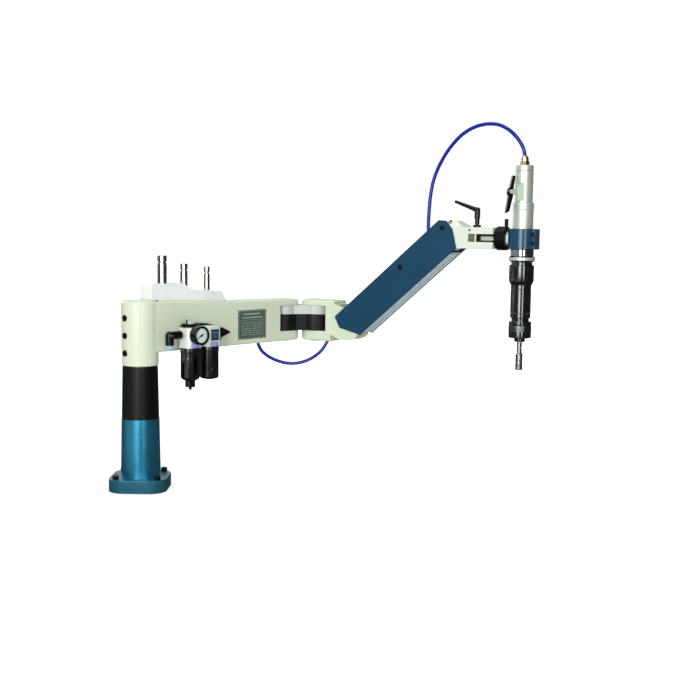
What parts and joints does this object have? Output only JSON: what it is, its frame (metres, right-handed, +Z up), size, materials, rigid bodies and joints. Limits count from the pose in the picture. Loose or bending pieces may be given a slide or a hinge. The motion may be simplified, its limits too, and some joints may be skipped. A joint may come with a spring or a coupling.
{
  "type": "arm tapping machine",
  "caption": "Pneumatic arm tapping machine: a swing arm on a round column, an elbow link, a gas-sprung parallelogram arm and a tilting head with an air motor and tap chuck.",
  "frame": {"origin": "centre of the column's axis in the flange's bottom face", "axes": "+Z up along the column; +X to the right and +Y to the back as the operator sees the machine"},
  "size_m": [0.8987, 0.4115, 0.7808],
  "materials": {
    "blue_metal": "smooth gloss enamel",
    "black_metal": "satin black oxide",
    "dark_metal": "matt dark paint",
    "cream_metal": "smooth pale green cream enamel on castings",
    "cover_blue": "smooth satin blue paint",
    "clamp_blue": "blue anodised look, satin",
    "grey_metal": "smooth grey blue paint",
    "steel": "turned steel",
    "bright_steel": "ground bright steel",
    "chrome_steel": "polished",
    "bronze": "machined bronze",
    "brass": "machined brass",
    "unit_alloy": "die cast, silver",
    "motor_alloy": "satin turned aluminium",
    "nameplate_metal": "plain anodised plate without text",
    "needle_metal": "thin black pointer",
    "black_plastic": "moulded black plastic",
    "black_screw": "black oxide screws",
    "lever_plastic": "smooth black moulding",
    "chuck_black": "black oxide, semi-gloss",
    "tray_plastic": "very pale moulding",
    "ring_plastic": "lavender blue moulding",
    "pale_plastic": "light blue moulding",
    "hose_blue": "smooth blue polyurethane tube"
  },
  "bodies": {
    "base": {"base_flange": "blue_metal", "levelling_screws": "black_screw", "column": "blue_metal", "column_sleeve": "black_metal", "main_spindle": "steel", "spindle_nut": "steel"},
    "swing_arm": {"first_arm": "cream_metal", "hub_bushes": "bronze", "hub_cap": "cream_metal", "hub_plugs": "black_screw", "tool_tray": "tray_plastic", "nameplate": "nameplate_metal", "frl_bracket": "black_metal", "regulator_body": "unit_alloy", "lubricator_body": "unit_alloy", "filter_guard": "black_plastic", "lubricator_guard": "black_plastic", "bowl_rings": "ring_plastic", "gauge_case": "black_plastic", "inlet_elbow": "black_plastic", "inner_elbow_pin": "steel"},
    "large_adapter": {"tap_adapter_large": "chrome_steel"},
    "medium_adapter": {"tap_adapter_medium": "chrome_steel"},
    "small_adapter": {"tap_adapter_small": "chrome_steel"},
    "drain": {"drain_cock": "black_plastic"},
    "pressure_knob": {"regulator_knob": "black_plastic"},
    "pointer": {"gauge_needle": "needle_metal"},
    "tube_release": {"release_ring": "pale_plastic"},
    "elbow": {"elbow_link": "dark_metal", "elbow_plate": "bright_steel", "elbow_bushes": "bronze", "lower_hose": "hose_blue"},
    "knuckle": {"knuckle": "cream_metal", "outer_elbow_pin": "steel"},
    "lift_arm": {"upper_link": "dark_metal", "upper_link_pins": "steel", "near_cover": "cover_blue", "far_cover": "cover_blue", "cover_screws": "black_screw", "underside_plate": "grey_metal"},
    "lower_arm": {"lower_link": "dark_metal"},
    "spring_tube": {"gas_spring_cylinder": "black_metal"},
    "spring_rod": {"gas_spring_rod": "chrome_steel"},
    "head": {"head_block": "cream_metal", "upper_hose": "hose_blue"},
    "head_clamp": {"clamp_lever": "lever_plastic"},
    "tilt_lock": {"index_pin": "black_plastic"},
    "tilt_head": {"index_ring": "black_metal", "tilt_shaft": "bright_steel", "motor_clamp": "clamp_blue", "clamp_screws": "black_screw", "motor_barrel": "motor_alloy", "motor_head": "motor_alloy", "air_fitting": "brass", "motor_nut": "chrome_steel"},
    "throttle": {"throttle_lever": "lever_plastic"},
    "spindle": {"chuck_sleeve": "chuck_black", "chuck_body": "chuck_black"},
    "collar": {"release_collar": "chuck_black"},
    "tap_holder": {"fitted_tap_adapter": "bright_steel"}
  },
  "joints": [
    {"name": "arm_swing", "type": "hinge", "parent": "base", "child": "swing_arm", "pos_m": [0, 0, 0.33], "axis": [0, 0, 1], "range_deg": [-170, 170]},
    {"name": "elbow_inner", "type": "hinge", "parent": "swing_arm", "child": "elbow", "pos_m": [0.28235, 0.30278, 0.34], "axis": [0, 0, 1], "range_deg": [-40, 120], "deforming": ["lower_hose"]},
    {"name": "elbow_outer", "type": "hinge", "parent": "elbow", "child": "knuckle", "pos_m": [0.35869, 0.31283, 0.34], "axis": [0, 0, 1], "range_deg": [-40, 120]},
    {"name": "arm_lift", "type": "hinge", "parent": "knuckle", "child": "lift_arm", "pos_m": [0.4375, 0.26733, 0.3428], "axis": [-0.5, -0.866, 0], "range_deg": [-75, 9]},
    {"name": "lower_link_turn", "type": "hinge", "parent": "knuckle", "child": "lower_arm", "pos_m": [0.4375, 0.26733, 0.3068], "axis": [-0.5, -0.866, 0], "range_deg": [-75, 9]},
    {"name": "head_level", "type": "hinge", "parent": "lift_arm", "child": "head", "pos_m": [0.65078, 0.14419, 0.55441], "axis": [-0.5, -0.866, 0], "range_deg": [-9, 75], "deforming": ["upper_hose"]},
    {"name": "spring_swing", "type": "hinge", "parent": "knuckle", "child": "spring_tube", "pos_m": [0.4375, 0.26733, 0.3278], "axis": [-0.5, -0.866, 0], "range_deg": [-75, 10]},
    {"name": "spring_stroke", "type": "slide", "parent": "spring_tube", "child": "spring_rod", "axis": [0.6253, -0.361, 0.6918], "range_m": [-0.0178, 0.0025]},
    {"name": "head_clamp_turn", "type": "hinge", "parent": "head", "child": "head_clamp", "pos_m": [0.70795, 0.08982, 0.55751], "axis": [0, 0, 1], "range_deg": [-30, 60]},
    {"name": "head_tilt", "type": "hinge", "parent": "head", "child": "tilt_head", "pos_m": [0.75184, 0.08584, 0.53451], "axis": [0.866, -0.5, 0], "range_deg": [-90, 90]},
    {"name": "tilt_lock_pull", "type": "slide", "parent": "tilt_head", "child": "tilt_lock", "axis": [0, 0, 1], "range_m": [0, 0.006], "stiffness_N_per_m": 600},
    {"name": "throttle_press", "type": "hinge", "parent": "tilt_head", "child": "throttle", "pos_m": [0.77125, 0.04761, 0.63301], "axis": [0.309, -0.9511, 0], "range_deg": [0, 8], "stiffness_Nm_per_rad": 1},
    {"name": "spindle_spin", "type": "hinge", "parent": "tilt_head", "child": "spindle", "pos_m": [0.80121, 0.05734, 0.45], "axis": [0, 0, 1], "continuous": true},
    {"name": "collar_slide", "type": "slide", "parent": "spindle", "child": "collar", "axis": [0, 0, 1], "range_m": [0, 0.005], "stiffness_N_per_m": 1500},
    {"name": "tap_holder_pull", "type": "slide", "parent": "spindle", "child": "tap_holder", "axis": [0, 0, -1], "range_m": [0, 0.035]},
    {"name": "pressure_knob_turn", "type": "hinge", "parent": "swing_arm", "child": "pressure_knob", "pos_m": [0.10188, 0.02054, 0.348], "axis": [0, 0, -1], "range_deg": [0, 800]},
    {"name": "pointer_turn", "type": "hinge", "parent": "swing_arm", "child": "pointer", "pos_m": [0.1315, -0.00708, 0.3255], "axis": [-0.7314, 0.682, 0], "range_deg": [0, 240]},
    {"name": "drain_turn", "type": "hinge", "parent": "swing_arm", "child": "drain", "pos_m": [0.10188, 0.02054, 0.2095], "axis": [0, 0, 1], "range_deg": [0, 180]},
    {"name": "tube_release_press", "type": "slide", "parent": "swing_arm", "child": "tube_release", "axis": [0, 0, 1], "range_m": [0, 0.0012], "stiffness_N_per_m": 2000},
    {"name": "large_adapter_lift", "type": "slide", "parent": "swing_arm", "child": "large_adapter", "axis": [0, 0, 1], "range_m": [0, 0.06]},
    {"name": "medium_adapter_lift", "type": "slide", "parent": "swing_arm", "child": "medium_adapter", "axis": [0, 0, 1], "range_m": [0, 0.06]},
    {"name": "small_adapter_lift", "type": "slide", "parent": "swing_arm", "child": "small_adapter", "axis": [0, 0, 1], "range_m": [0, 0.06]}
  ],
  "couplings": [
    {"joint": "lower_link_turn", "follows": "arm_lift", "ratio": 1},
    {"joint": "head_level", "follows": "arm_lift", "ratio": -1},
    {"joint": "spring_swing", "follows": "arm_lift", "ratio": 0.99},
    {"joint": "spring_stroke", "follows": "arm_lift", "m_per_rad": 0.01327},
    {"joint": "pointer_turn", "follows": "pressure_knob_turn", "ratio": 0.3}
  ]
}
